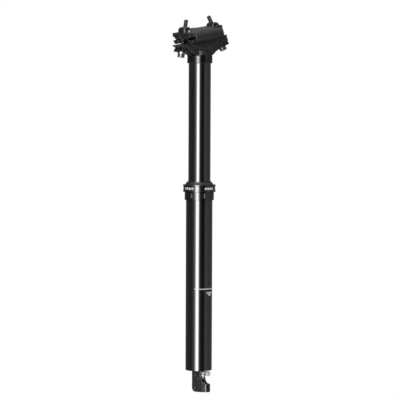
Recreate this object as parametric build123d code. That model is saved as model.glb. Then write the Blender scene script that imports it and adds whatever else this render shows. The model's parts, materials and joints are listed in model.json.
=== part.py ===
from build123d import *
import os
from math import atan2, cos, degrees, hypot, radians, sin, sqrt, tan

# Dropper seatpost. Millimetres, +Z up, +X to the front of the bicycle, +Y to its left.
# The origin is on the post's axis at the lower end of the lower tube.

# Clearances and small workings
running_gap = 0.05
seated_gap = 0.03
loose_gap = 0.3
overrun = 1.0
edge_break = 0.4

# Lower tube
tube_diameter = 31.6
tube_wall = 1.8
thread_depth = 0.3
keyway_depth = 0.8
keyway_foot = 6.0
key_count = 3

# Stanchion and its travel
stanchion_diameter = 26.4
stanchion_wall = 1.6
overlap_length = 65.0
travel = 125.0
low_stop_room = 15.2

# Brass keys and the bearing on the stanchion's foot
key_width = 3.0
key_length = 9.0
key_rise = 4.0
key_pocket_depth = 0.8
lower_bushing_rise = 15.0
lower_bushing_length = 10.0
bushing_groove_depth = 0.3

# Collar
collar_reach = 11.6
collar_sleeve_diameter = 34.9
flange_diameter = 39.0
flange_band_diameter = 38.0
flange_height = 8.7
flange_lip_height = 1.8
spanner_notch_count = 8
spanner_notch_width = 2.8
spanner_notch_height = 5.2
spanner_notch_depth = 1.3
spanner_notch_rise = 3.0
first_notch_angle = 82.0
collar_ring_section = 1.0
collar_ring_drop = 2.5

# Wiper seal and the bearing in the tube's mouth
wiper_base_wall = 3.5
wiper_tip_wall = 1.7
wiper_height = 3.6
wiper_seat_depth = 3.4
wiper_seat_wall = 1.7
upper_bushing_length = 18.0

# Plug in the tube's lower end
plug_inset = 1.0
plug_height = 15.0
plug_ring_section = 2.0
plug_ring_rise = 10.0
spigot_socket_depth = 8.0

# Cartridge
shaft_diameter = 9.0
shaft_bore = 4.0
shaft_foot = 4.0
shaft_nut_width = 13.0
shaft_nut_height = 4.5
cartridge_bore = 18.0
cartridge_wall = 1.5
gas_room = 1.75
gland_flange_height = 6.0
gland_length = 22.0
gland_seal_section = 1.8
cap_plug_length = 7.0
cap_flange_height = 4.0
top_bumper_height = 3.4
piston_height = 8.0
ring_section = 1.8
floating_piston_height = 8.0
oil_margin = 1.0
bottom_bumper_diameter = 24.0
bottom_bumper_bore = 17.0
bottom_bumper_height = 8.7

# Valve
pin_diameter = 3.0
pin_head_diameter = 6.0
pin_head_height = 2.0
pin_collar_height = 1.2
pin_drop = 4.7
spring_wire = 0.8

# Foot, drawn along the direction of its toe
toe_direction = 130.0
foot_half_width = 6.0
foot_back = 6.0
foot_front = 6.2
foot_depth = 26.0
foot_back_radius = 5.0
foot_ceiling = 3.0
spigot_diameter = 14.0
chamber_diameter = 6.8
chamber_floor = 1.2
toe_top = 16.3
toe_reach = 10.0
toe_radius = 4.8
toe_hollow_radius = 6.5
notch_front = 4.6
notch_depth = 7.6
lever_slot_width = 5.2
lever_slot_back = 4.2
lever_slot_floor = 14.0
housing_bore = 5.2
housing_bore_depth = 7.7
wire_bore = 1.8
wall_screw_diameter = 2.5
wall_screw_length = 2.6
wall_screw_offset = 1.4
wall_screw_depths = (6.0, 21.6)

# Lever and its anchor
lever_play = 0.15
pivot_reach = 3.4
pivot_depth = 9.3
pivot_diameter = 2.0
lever_thickness = 4.6
lever_boss_radius = 2.3
lever_nose_reach = 2.0
lever_nose_radius = 0.8
lever_head_back = 6.8
lever_head_reach = 13.4
lever_head_top = 2.0
lever_head_bottom = 7.0
lever_head_width = 9.0
anchor_diameter = 3.6
anchor_depth = 4.5
anchor_screw_diameter = 2.0
anchor_screw_length = 3.0

# Saddle clamp, drawn on axes that lean forward with the saddle rails
rail_lean = 9.0
rail_rise = 31.4
rail_diameter = 7.0
rail_spacing = 44.0
rail_grip_gap = 0.8
rocking_height = 9.9
rocking_radius = 24.0
clamp_tilt = 10.0

# Upper half of the clamp: a plate with a front and a rear tongue, and a shell over each rail
clamp_shell_reach = 18.4
clamp_shell_play = 0.2
clamp_shell_wall = 1.6
clamp_shell_foot = 1.4
clamp_shoulder_radius = 9.0
clamp_plate_top = 8.1
clamp_hump_half = 13.4
clamp_hump_top = 10.5
front_tongue_reach = 24.2
front_tongue_half_width = 24.0
rear_tongue_reach = 24.8
rear_tongue_half_width = 13.5

# Lower half of the clamp
cradle_half_length = 22.8
cradle_core_margin = 0.6
trough_wall = 2.0
cradle_web_depth = 4.8

# Head
head_collar_diameter = 29.95
head_collar_height = 9.2
head_socket_depth = 12.0
head_half_width = 13.0
head_column_rise = 15.2
front_ear_reach = 32.0
rear_ear_reach = 29.8
ear_top = 5.4
ear_bottom = 12.5
front_ear_root = 20.5
rear_ear_root = 12.1
rear_ear_root_drop = 19.6
neck_flare_share = 1.6
neck_step = 0.2

# Bolts, nuts and washers of the clamp
bolt_diameter = 5.0
bolt_head_diameter = 8.5
bolt_head_height = 5.0
bolt_socket_width = 4.0
bolt_socket_depth = 2.6
bolt_length = 40.0
nut_reach = 18.6
nut_diameter = 9.5
nut_half_length = 8.6
nut_recess_diameter = 6.0
nut_recess_depth = 1.6
nut_play = 0.5
slot_play = 0.4
pivot_washer_reach = 26.1
pivot_washer_drop = 13.5
pivot_washer_radius = 5.0
pivot_washer_cut = 1.2
pivot_washer_half_length = 12.0
flat_washer_diameter = 10.0
flat_washer_height = 1.0

# Heights and radii that follow from the sizes above
plug_top = plug_inset + plug_height
stanchion_foot = plug_top + bottom_bumper_height + loose_gap + travel
tube_height = stanchion_foot + overlap_length
tube_radius = tube_diameter / 2
bore_radius = tube_radius - tube_wall
stanchion_radius = stanchion_diameter / 2
stanchion_bore_radius = stanchion_radius - stanchion_wall
thread_radius = tube_radius - thread_depth
collar_bottom = tube_height - collar_reach
flange_bottom = collar_bottom + (collar_reach - flange_lip_height - seated_gap)
collar_top = flange_bottom + flange_height
wiper_base_radius = stanchion_radius + wiper_base_wall
wiper_tip_radius = stanchion_radius + wiper_tip_wall
wiper_top = collar_top + wiper_height
head_bottom = wiper_top + low_stop_room + travel
stanchion_top = head_bottom + head_socket_depth
rail_height = head_bottom + rail_rise
shaft_radius = shaft_diameter / 2
cartridge_radius = cartridge_bore / 2
cartridge_foot = stanchion_foot + gland_flange_height
gland_top = stanchion_foot + gland_length
piston_bottom = gland_top + loose_gap + top_bumper_height + seated_gap
piston_top = piston_bottom + piston_height
floating_bottom = piston_top + travel + oil_margin
floating_top = floating_bottom + floating_piston_height
floating_travel = travel * (shaft_radius / cartridge_radius) ** 2
cartridge_top = floating_top + floating_travel + gas_room + cap_plug_length
pin_radius = pin_diameter / 2
bolt_radius = bolt_diameter / 2
rail_offset = rail_spacing / 2
trough_radius = rail_diameter / 2 + trough_wall

# The clamp's own axes: u along the rails, v across, w up, with w = 0 on the rails' axes
clamp_axes = Pos(0, 0, rail_height) * Rot(0, rail_lean, 0)

# The foot's own axes: X along the toe
foot_axes = Rot(0, 0, toe_direction)

os.makedirs("parts", exist_ok=True)


def rod(radius, low, high):
    """A round bar on Z from one height to another."""
    return Pos(0, 0, low) * Cylinder(radius, high - low, align=(Align.CENTER, Align.CENTER, Align.MIN))


def ring(outer_radius, inner_radius, low, high):
    """A plain tube on Z."""
    return rod(outer_radius, low, high) - rod(inner_radius, low - overrun, high + overrun)


def turned(outline):
    """A closed outline of (radius, height) points turned about Z."""
    edges = Polyline(*[(radius, 0, height) for radius, height in outline], close=True)
    return revolve(make_face(edges), axis=Axis.Z)


def cord_ring(middle_radius, section, height):
    """A round-section sealing ring."""
    return Pos(0, 0, height) * Torus(middle_radius, section / 2)


def side_slab(outline, half_width):
    """A closed outline of (along, up) points drawn out to both sides of the middle plane."""
    edges = Polyline(*[(along, 0, up) for along, up in outline], close=True)
    return extrude(make_face(edges), amount=half_width, dir=(0, 1, 0), both=True)


def cross_bar(radius, half_length, along, up):
    """A round bar lying across, on the Y direction."""
    bar = Cylinder(radius, 2 * half_length)
    return Pos(along, 0, up) * Rot(90, 0, 0) * bar


def long_bar(radius, half_length, across, up):
    """A round bar lying along, on the X direction."""
    bar = Cylinder(radius, 2 * half_length)
    return Pos(0, across, up) * Rot(0, 90, 0) * bar


def block(low, high):
    """A box between two corners."""
    sizes = [high[axis] - low[axis] for axis in range(3)]
    return Pos(*low) * Box(*sizes, align=(Align.MIN, Align.MIN, Align.MIN))


def hexagon_pit(width, depth, top):
    """The hole of a hexagon key, open at the top."""
    outline = RegularPolygon(width / 2, 6, major_radius=False)
    return Pos(0, 0, top - depth) * extrude(outline, amount=depth + overrun)


def broken(solid, size):
    """The rims at a round solid's two ends chamfered."""
    ends = solid.faces().sort_by(Axis.Z)
    rims = ends[0].edges() + ends[-1].edges()
    return chamfer(rims, size)


# Lower tube

def key_bars(radial_inner, radial_outer, width, low, high):
    """One bar for each key, evenly set about the axis."""
    bars = []
    for index in range(key_count):
        bar = block((radial_inner, -width / 2, low), (radial_outer, width / 2, high))
        bars.append(Rot(0, 0, toe_direction + index * 360 / key_count) * bar)
    return bars


def make_outer_tube():
    tube = ring(tube_radius, bore_radius, 0, tube_height)
    tube = broken(tube, edge_break)
    tube -= ring(tube_radius + overrun, thread_radius, collar_bottom, tube_height + overrun)
    keyway_low = plug_top + keyway_foot
    keyway_high = tube_height - upper_bushing_length
    half_key = key_width / 2
    inner = sqrt(bore_radius ** 2 - half_key ** 2) - edge_break
    keyway_width = key_width + 2 * running_gap
    for bar in key_bars(inner, bore_radius + keyway_depth, keyway_width, keyway_low, keyway_high):
        tube -= bar
    return tube


def make_collar_nut():
    sleeve = collar_sleeve_diameter / 2
    lip = flange_diameter / 2
    band = flange_band_diameter / 2
    seat = wiper_base_radius - wiper_seat_wall + seated_gap
    throat = stanchion_radius + loose_gap
    outline = [
        (thread_radius + seated_gap, collar_bottom),
        (sleeve - edge_break, collar_bottom),
        (sleeve, collar_bottom + edge_break),
        (sleeve, flange_bottom),
        (lip - edge_break, flange_bottom),
        (lip, flange_bottom + edge_break),
        (lip, flange_bottom + flange_lip_height),
        (band, flange_bottom + flange_lip_height),
        (band, collar_top - flange_lip_height),
        (lip, collar_top - flange_lip_height),
        (lip, collar_top - edge_break),
        (lip - edge_break, collar_top),
        (seat, collar_top),
        (seat, collar_top - wiper_seat_depth),
        (throat, collar_top - wiper_seat_depth),
        (throat, tube_height + seated_gap),
        (thread_radius + seated_gap, tube_height + seated_gap),
    ]
    collar = turned(outline)
    notch_low = collar_bottom + spanner_notch_rise
    notch = block(
        (sleeve - spanner_notch_depth, -spanner_notch_width / 2, notch_low),
        (sleeve + overrun, spanner_notch_width / 2, notch_low + spanner_notch_height),
    )
    for index in range(spanner_notch_count):
        collar -= Rot(0, 0, first_notch_angle + index * 360 / spanner_notch_count) * notch
    groove_middle = thread_radius + seated_gap + collar_ring_section / 2
    groove_height = tube_height - collar_ring_drop
    half_groove = collar_ring_section / 2 + running_gap
    groove_low = groove_height - half_groove
    groove_high = groove_height + half_groove
    return collar - ring(groove_middle + half_groove, thread_radius, groove_low, groove_high)


def make_collar_o_ring():
    middle = thread_radius + seated_gap + collar_ring_section / 2
    return cord_ring(middle, collar_ring_section, tube_height - collar_ring_drop)


def make_wiper_seal():
    lip = stanchion_radius + running_gap
    relief = stanchion_radius + loose_gap
    skirt = wiper_base_radius - wiper_seat_wall
    rest = collar_top
    outline = [
        (lip, wiper_top),
        (wiper_tip_radius, wiper_top),
        (wiper_base_radius, rest + edge_break),
        (wiper_base_radius, rest),
        (skirt, rest),
        (skirt, rest - wiper_seat_depth + seated_gap),
        (relief, rest - wiper_seat_depth + seated_gap),
        (relief, wiper_top - wiper_height / 2),
        (lip, wiper_top - wiper_height / 3),
    ]
    return turned(outline)


def make_upper_bushing():
    low = tube_height - upper_bushing_length
    return ring(bore_radius - seated_gap, stanchion_radius + running_gap, low, tube_height)


# Plug and the fixed half of the cartridge

def make_bottom_cap():
    plug = broken(rod(bore_radius - seated_gap, plug_inset, plug_top), edge_break)
    plug -= rod(shaft_radius + seated_gap, 0, plug_top + overrun)
    plug -= rod(spigot_diameter / 2 + seated_gap, 0, plug_inset + spigot_socket_depth)
    ring_height = plug_inset + plug_ring_rise
    half_groove = plug_ring_section / 2 + seated_gap
    middle = bore_radius - seated_gap - plug_ring_section / 2
    groove_low = ring_height - half_groove
    groove_high = ring_height + half_groove
    return plug - ring(bore_radius + overrun, middle - half_groove, groove_low, groove_high)


def make_cap_o_ring():
    middle = bore_radius - seated_gap - plug_ring_section / 2
    return cord_ring(middle, plug_ring_section, plug_inset + plug_ring_rise)


def make_shaft():
    shaft = ring(shaft_radius, shaft_bore / 2, shaft_foot, piston_top)
    return shaft


def make_shaft_nut():
    outline = RegularPolygon(shaft_nut_width / 2, 6, major_radius=False)
    nut = Pos(0, 0, plug_top) * extrude(outline, amount=shaft_nut_height)
    return nut - rod(shaft_radius + seated_gap, 0, plug_top + shaft_nut_height + overrun)


def make_piston():
    piston = ring(cartridge_radius - running_gap, shaft_radius + seated_gap, piston_bottom, piston_top)
    return piston - piston_groove(piston_bottom + piston_height / 2)


def piston_groove(height):
    """The ring groove that the piston and the floating piston share."""
    half_groove = ring_section / 2 + seated_gap
    inner = cartridge_radius - running_gap - ring_section - seated_gap
    return ring(cartridge_radius + overrun, inner, height - half_groove, height + half_groove)


def make_piston_ring():
    middle = cartridge_radius - running_gap - ring_section / 2
    return cord_ring(middle, ring_section, piston_bottom + piston_height / 2)


def make_top_out_bumper():
    low = gland_top + loose_gap
    return ring(cartridge_radius - loose_gap, shaft_radius + seated_gap, low, low + top_bumper_height)


def make_bottom_out_bumper():
    high = plug_top + bottom_bumper_height
    return ring(bottom_bumper_diameter / 2, bottom_bumper_bore / 2, plug_top, high)


# Foot

def make_actuator_body():
    front_wall = foot_front
    floor = -foot_depth
    corner = foot_back_radius
    outline = [
        (-foot_back, 0),
        (-foot_back, floor + corner),
        (-foot_back + corner, floor),
        (toe_reach, floor),
        (toe_reach, -toe_top),
        (front_wall, -toe_top),
        (front_wall, -notch_depth),
        (notch_front, -notch_depth),
        (notch_front, 0),
    ]
    body = side_slab(outline, foot_half_width)
    body += cross_bar(corner, foot_half_width, corner - foot_back, corner + floor)
    toe = rod(toe_radius, floor, -toe_top)
    body += Pos(toe_reach, 0, 0) * toe
    side = toe_radius + overrun
    web_reach = (front_wall + toe_reach) / 2
    flank_low = (web_reach, toe_radius, floor - overrun)
    flank = block(flank_low, (toe_reach + side, foot_half_width + overrun, 0))
    body -= flank
    body -= mirror(flank, about=Plane.XZ)
    fillet_high = (toe_reach, foot_half_width, -notch_depth)
    fillet_block = block((front_wall, -foot_half_width, -toe_top), fillet_high)
    fillet_block = fillet_block - flank - mirror(flank, about=Plane.XZ)
    hollow_middle = foot_front + toe_hollow_radius
    hollow_up = toe_hollow_radius - toe_top
    hollow = cross_bar(toe_hollow_radius, foot_half_width + overrun, hollow_middle, hollow_up)
    hollow_roof = block(
        (front_wall, -foot_half_width - overrun, hollow_up),
        (toe_reach + side, foot_half_width + overrun, 0),
    )
    body += fillet_block - hollow - hollow_roof
    spigot = rod(spigot_diameter / 2, 0, plug_inset + spigot_socket_depth - seated_gap)
    body += spigot
    body -= rod(shaft_radius + seated_gap, shaft_foot, plug_inset + spigot_socket_depth + overrun)
    body -= rod(chamber_diameter / 2, chamber_floor - foot_ceiling, shaft_foot)
    body -= rod(pin_radius + running_gap, -foot_ceiling - overrun, overrun)
    half_slot = lever_slot_width / 2
    slot_front = toe_reach + toe_radius + overrun
    body -= block((-lever_slot_back, -half_slot, -lever_slot_floor), (slot_front, half_slot, -foot_ceiling))
    housing_top = floor + housing_bore_depth
    body -= Pos(toe_reach, 0, 0) * rod(housing_bore / 2, floor - overrun, housing_top)
    body -= Pos(toe_reach, 0, 0) * rod(wire_bore / 2, floor, 0)
    half_slit = wire_bore / 2
    body -= block((toe_reach, -half_slit, floor - overrun), (slot_front, half_slit, 0))
    body -= cross_bar(pivot_diameter / 2 + seated_gap, foot_half_width + overrun, pivot_reach, -pivot_depth)
    for depth in wall_screw_depths:
        hole_radius = wall_screw_diameter / 2 + seated_gap
        hole = cross_bar(hole_radius, wall_screw_length / 2, -wall_screw_offset, -depth)
        body -= Pos(0, wall_screw_side(), 0) * hole
    return foot_axes * body


def wall_screw_side():
    """The middle of a wall screw, set flush in the foot's side that faces away from +Y of the toe."""
    return wall_screw_length / 2 - foot_half_width


def make_wall_screws():
    pieces = []
    for depth in wall_screw_depths:
        screw = rod(wall_screw_diameter / 2, 0, wall_screw_length)
        screw -= hexagon_pit(wall_screw_diameter / 2, wall_screw_length / 2, wall_screw_length)
        placed = Pos(-wall_screw_offset, wall_screw_length - foot_half_width, -depth) * Rot(90, 0, 0) * screw
        pieces.append(foot_axes * placed)
    return pieces


def make_pivot_pin():
    return foot_axes * cross_bar(pivot_diameter / 2, foot_half_width - seated_gap, pivot_reach, -pivot_depth)


# Lever and anchor

def make_release_lever():
    rest_top = -pin_drop - lever_play
    nose_middle = rest_top - lever_nose_radius
    outline = [
        (-lever_nose_reach, rest_top),
        (notch_front - edge_break, rest_top),
        (notch_front + edge_break, -lever_head_top),
        (lever_head_reach, -lever_head_top),
        (lever_head_reach, -lever_head_bottom),
        (lever_head_back, -lever_head_bottom),
        (pivot_reach + lever_boss_radius, -pivot_depth),
        (pivot_reach - lever_boss_radius, -pivot_depth),
        (-lever_nose_reach, nose_middle - lever_nose_radius),
    ]
    lever = side_slab(outline, lever_thickness / 2)
    lever += cross_bar(lever_nose_radius, lever_thickness / 2, -lever_nose_reach, nose_middle)
    lever += cross_bar(lever_boss_radius, lever_thickness / 2, pivot_reach, -pivot_depth)
    half_head = lever_head_width / 2
    head = block(
        (lever_head_back, -half_head, -lever_head_bottom),
        (lever_head_reach, half_head, -lever_head_top),
    )
    corners = head.edges().filter_by(Axis.Y)
    lever += fillet(corners, edge_break * 2)
    lever -= cross_bar(pivot_diameter / 2 + running_gap, half_head, pivot_reach, -pivot_depth)
    lever -= cross_bar(anchor_diameter / 2 + running_gap, half_head + overrun, toe_reach, -anchor_depth)
    lever -= Pos(toe_reach, 0, 0) * rod(wire_bore / 2, -lever_head_bottom - overrun, 0)
    return foot_axes * lever


def make_cable_anchor():
    half_head = lever_head_width / 2
    barrel = cross_bar(anchor_diameter / 2, half_head, toe_reach, -anchor_depth)
    barrel -= Pos(toe_reach, 0, 0) * rod(wire_bore / 2, -lever_head_bottom, 0)
    hole_radius = anchor_screw_diameter / 2 + seated_gap
    screw_hole = cross_bar(hole_radius, anchor_screw_length / 2, toe_reach, -anchor_depth)
    barrel -= Pos(0, anchor_screw_length / 2 - half_head, 0) * screw_hole
    return foot_axes * barrel


def make_anchor_grub_screw():
    half_head = lever_head_width / 2
    screw = rod(anchor_screw_diameter / 2, 0, anchor_screw_length)
    screw -= hexagon_pit(anchor_screw_diameter / 2, anchor_screw_length / 2, anchor_screw_length)
    placed = Pos(toe_reach, anchor_screw_length - half_head, -anchor_depth) * Rot(90, 0, 0) * screw
    return foot_axes * placed


def make_valve_pin():
    top = piston_top + seated_gap
    pin = rod(pin_radius, -pin_drop, top)
    pin += rod(pin_head_diameter / 2, top, top + pin_head_height)
    collar_low = chamber_floor - foot_ceiling
    pin += rod(pin_head_diameter / 2, collar_low, collar_low + pin_collar_height)
    return pin


def make_valve_spring():
    low = chamber_floor - foot_ceiling + pin_collar_height
    outer = pin_head_diameter / 2
    return ring(outer, outer - spring_wire, low, shaft_foot)


# Stanchion and what rides with it

def make_stanchion():
    tube = ring(stanchion_radius, stanchion_bore_radius, stanchion_foot, stanchion_top - seated_gap)
    key_low = stanchion_foot + key_rise - seated_gap
    key_high = stanchion_foot + key_rise + key_length + seated_gap
    pocket_floor = stanchion_radius - key_pocket_depth - seated_gap
    for bar in key_bars(pocket_floor, bore_radius, key_width + 2 * seated_gap, key_low, key_high):
        tube -= bar
    groove_low = stanchion_foot + lower_bushing_rise - seated_gap
    groove_high = stanchion_foot + lower_bushing_rise + lower_bushing_length + seated_gap
    return tube - ring(bore_radius, stanchion_radius - bushing_groove_depth, groove_low, groove_high)


def make_anti_rotation_keys():
    low = stanchion_foot + key_rise
    outer = bore_radius + keyway_depth - 2 * running_gap
    return key_bars(stanchion_radius - key_pocket_depth, outer, key_width, low, low + key_length)


def make_lower_bushing():
    low = stanchion_foot + lower_bushing_rise
    inner = stanchion_radius - bushing_groove_depth + seated_gap
    return ring(bore_radius - running_gap, inner, low, low + lower_bushing_length)


def make_cartridge_body():
    return ring(cartridge_radius + cartridge_wall, cartridge_radius, cartridge_foot, cartridge_top)


def make_cartridge_top_cap():
    plug = rod(cartridge_radius - seated_gap, cartridge_top - cap_plug_length, cartridge_top)
    return plug + rod(stanchion_bore_radius - seated_gap, cartridge_top, cartridge_top + cap_flange_height)


def gland_seal_height():
    return (cartridge_foot + gland_top) / 2


def make_cartridge_gland():
    gland = rod(stanchion_bore_radius - seated_gap, stanchion_foot, cartridge_foot)
    gland += rod(cartridge_radius - seated_gap, cartridge_foot, gland_top)
    gland -= rod(shaft_radius + running_gap, stanchion_foot - overrun, gland_top + overrun)
    half_groove = gland_seal_section / 2 + seated_gap
    groove_outer = shaft_radius + running_gap + gland_seal_section + seated_gap
    height = gland_seal_height()
    return gland - ring(groove_outer, shaft_radius, height - half_groove, height + half_groove)


def make_gland_seal():
    middle = shaft_radius + running_gap + gland_seal_section / 2
    return cord_ring(middle, gland_seal_section, gland_seal_height())


def make_floating_piston():
    body = rod(cartridge_radius - running_gap, floating_bottom, floating_top)
    return body - piston_groove((floating_bottom + floating_top) / 2)


def make_floating_piston_ring():
    middle = cartridge_radius - running_gap - ring_section / 2
    return cord_ring(middle, ring_section, (floating_bottom + floating_top) / 2)


# Linkage of the saddle clamp

def bolt_lean(tilt):
    """How far the front bolt leans inwards, in degrees, with the clamp tipped forward by tilt."""
    nut_along = nut_reach * cos(radians(tilt))
    nut_up = rocking_height - nut_reach * sin(radians(tilt))
    return degrees(atan2(pivot_washer_reach - nut_along, nut_up + pivot_washer_drop))


def bolt_axes(side):
    """The bolt's own axes: origin on the pivot washer's middle, Z along the bolt."""
    middle = Pos(side * pivot_washer_reach, 0, -pivot_washer_drop)
    return clamp_axes * middle * Rot(0, -side * bolt_lean(0), 0)


def bolt_slot(side, pivot_along, pivot_up, leans, low, high):
    """The room that a swinging bolt sweeps between two heights, with its play."""
    margin = bolt_radius / cos(radians(max(leans))) + slot_play
    reaches = []
    for height in (low, high):
        middles = [pivot_along + (pivot_up - height) * tan(radians(lean)) for lean in leans]
        reaches.append((min(middles) - margin, max(middles) + margin))
    outline = [
        (side * reaches[0][0], low),
        (side * reaches[0][1], low),
        (side * reaches[1][1], high),
        (side * reaches[1][0], high),
    ]
    return side_slab(outline, bolt_radius + slot_play)


def clamp_slot(side):
    """A bolt's room in the two clamp halves, which tip about the nut against the bolt."""
    leans = [bolt_lean(tilt) + tilt for tilt in (-clamp_tilt, clamp_tilt)]
    return bolt_slot(side, nut_reach, rocking_height, leans, -rocking_radius, rocking_height)


def make_rail_clamp():
    half_width = rail_offset + trough_radius + clamp_shell_play + clamp_shell_wall
    shoulder_across = half_width - clamp_shoulder_radius
    shoulder_up = clamp_hump_top - clamp_shoulder_radius
    reach = clamp_shell_reach
    section = block((-reach, -shoulder_across, 0), (reach, shoulder_across, clamp_hump_top))
    section += block((-reach, -half_width, -clamp_shell_foot), (reach, half_width, shoulder_up))
    for side in (-1, 1):
        section += long_bar(clamp_shoulder_radius, reach, side * shoulder_across, shoulder_up)
    low = -clamp_shell_foot
    plate = block((-reach, -half_width, low), (reach, half_width, clamp_plate_top))
    hump = block((-clamp_hump_half, -half_width, low), (clamp_hump_half, half_width, clamp_hump_top))
    crown = clamp_hump_top - clamp_plate_top
    crown_radius = (clamp_hump_half ** 2 + crown ** 2) / (2 * crown)
    hump &= cross_bar(crown_radius, half_width, 0, clamp_hump_top - crown_radius)
    body = (plate + hump) & section
    body += block(
        (0, -front_tongue_half_width, rail_grip_gap),
        (front_tongue_reach, front_tongue_half_width, clamp_plate_top),
    )
    body += block(
        (-rear_tongue_reach, -rear_tongue_half_width, rail_grip_gap),
        (0, rear_tongue_half_width, clamp_hump_top),
    )
    room_half_width = rail_offset + trough_radius + clamp_shell_play
    body -= block(
        (-reach - overrun, -room_half_width, low - overrun),
        (reach + overrun, room_half_width, rail_grip_gap),
    )
    for side in (-1, 1):
        body -= long_bar(rail_diameter / 2, front_tongue_reach + overrun, side * rail_offset, 0)
        pocket_half = nut_half_length + nut_play
        body -= cross_bar(nut_diameter / 2 + nut_play, pocket_half, side * nut_reach, rocking_height)
        body -= clamp_slot(side)
    return clamp_axes * body


def make_rail_cradle():
    top = -rail_grip_gap
    core_half_width = head_half_width + cradle_core_margin
    floor = -rocking_radius
    core = cross_bar(rocking_radius - 2 * running_gap, core_half_width, 0, rocking_height)
    core &= block((-cradle_half_length, -core_half_width, floor), (cradle_half_length, core_half_width, top))
    cradle = core
    trim = block(
        (-cradle_half_length, -rail_spacing, floor),
        (cradle_half_length, rail_spacing, top),
    )
    for side in (-1, 1):
        trough = long_bar(trough_radius, cradle_half_length, side * rail_offset, 0) & trim
        inner = side * (core_half_width - running_gap)
        outer = side * rail_offset
        web = block(
            (-cradle_half_length, min(inner, outer), -cradle_web_depth),
            (cradle_half_length, max(inner, outer), top),
        )
        cradle += trough + web
    for side in (-1, 1):
        cradle -= long_bar(rail_diameter / 2, cradle_half_length + overrun, side * rail_offset, 0)
        cradle -= clamp_slot(side)
    return clamp_axes * cradle


def make_seat_head():
    collar_radius = head_collar_diameter / 2
    collar_height_top = head_bottom + head_collar_height
    outline = [
        (-rear_ear_reach, -ear_bottom),
        (-rear_ear_root, -rear_ear_root_drop),
        (0, -rail_rise),
        (collar_radius, -rail_rise),
        (front_ear_root, -ear_bottom),
        (front_ear_reach, -ear_bottom),
        (front_ear_reach, -ear_top),
        (-rear_ear_reach, -ear_top),
    ]
    forging = side_slab(outline, head_half_width)
    forging -= cross_bar(rocking_radius, head_half_width + overrun, 0, rocking_height)
    leans = [bolt_lean(tilt) for tilt in (-clamp_tilt, clamp_tilt)]
    slot_low = -ear_bottom - overrun
    slot_high = overrun - ear_top
    for side in (-1, 1):
        seat_radius = pivot_washer_radius + 2 * running_gap
        seat_half = head_half_width + overrun
        forging -= cross_bar(seat_radius, seat_half, side * pivot_washer_reach, -pivot_washer_drop)
        forging -= bolt_slot(side, pivot_washer_reach, -pivot_washer_drop, leans, slot_low, slot_high)
    forging = clamp_axes * forging
    neck_radius = collar_radius - neck_step
    flare_top = rail_height + collar_radius
    flare_radius = neck_radius + neck_flare_share * (flare_top - collar_height_top)
    flare = turned([
        (0, collar_height_top - neck_step),
        (neck_radius, collar_height_top - neck_step),
        (neck_radius, collar_height_top),
        (flare_radius, flare_top),
        (0, flare_top),
    ])
    collar = rod(collar_radius, head_bottom, collar_height_top)
    collar = chamfer(collar.edges().sort_by(Axis.Z)[0], edge_break)
    column = rod(neck_radius, head_bottom, head_bottom + head_column_rise)
    column -= clamp_axes * cross_bar(rocking_radius, head_half_width + overrun, 0, rocking_height)
    head = (forging & flare) + column + collar
    return head - rod(stanchion_radius + seated_gap, head_bottom - overrun, stanchion_top)


def make_bolt(side):
    rest = -pivot_washer_cut - flat_washer_height
    bolt = rod(bolt_radius, rest, rest + bolt_length)
    bolt = chamfer(bolt.edges().sort_by(Axis.Z)[-1], edge_break)
    head = rod(bolt_head_diameter / 2, rest - bolt_head_height, rest)
    head = chamfer(head.edges().sort_by(Axis.Z)[0], edge_break)
    pit = hexagon_pit(bolt_socket_width, bolt_socket_depth, 0)
    pit = Pos(0, 0, rest - bolt_head_height) * Rot(180, 0, 0) * pit
    return bolt_axes(side) * (bolt + head - pit)


def make_flat_washer(side):
    low = -pivot_washer_cut - flat_washer_height
    washer = ring(flat_washer_diameter / 2, bolt_radius + running_gap, low, -pivot_washer_cut)
    return bolt_axes(side) * washer


def make_pivot_washer(side):
    barrel = cross_bar(pivot_washer_radius, pivot_washer_half_length, 0, 0)
    half = block(
        (-pivot_washer_radius, -pivot_washer_half_length, -pivot_washer_cut),
        (pivot_washer_radius, pivot_washer_half_length, pivot_washer_radius),
    )
    barrel &= half
    barrel -= rod(bolt_radius + running_gap, -pivot_washer_radius - overrun, pivot_washer_radius + overrun)
    return bolt_axes(side) * barrel


def make_barrel_nut(side):
    rise = hypot(pivot_washer_reach - nut_reach, rocking_height + pivot_washer_drop)
    nut = cross_bar(nut_diameter / 2, nut_half_length, 0, rise)
    nut = chamfer(nut.edges().filter_by(GeomType.CIRCLE), edge_break)
    for end in (-1, 1):
        recess = cross_bar(nut_recess_diameter / 2, nut_recess_depth, 0, rise)
        nut -= Pos(0, end * nut_half_length, 0) * recess
    nut -= rod(bolt_radius + running_gap, rise - nut_diameter, rise + nut_diameter)
    return bolt_axes(side) * nut


def save(name, shape):
    """One file for each piece; a list of solids shares one file."""
    if isinstance(shape, list):
        shape = Compound(children=[Part(piece.wrapped) for piece in shape])
    export_step(shape, "parts/" + name + ".step")


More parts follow.
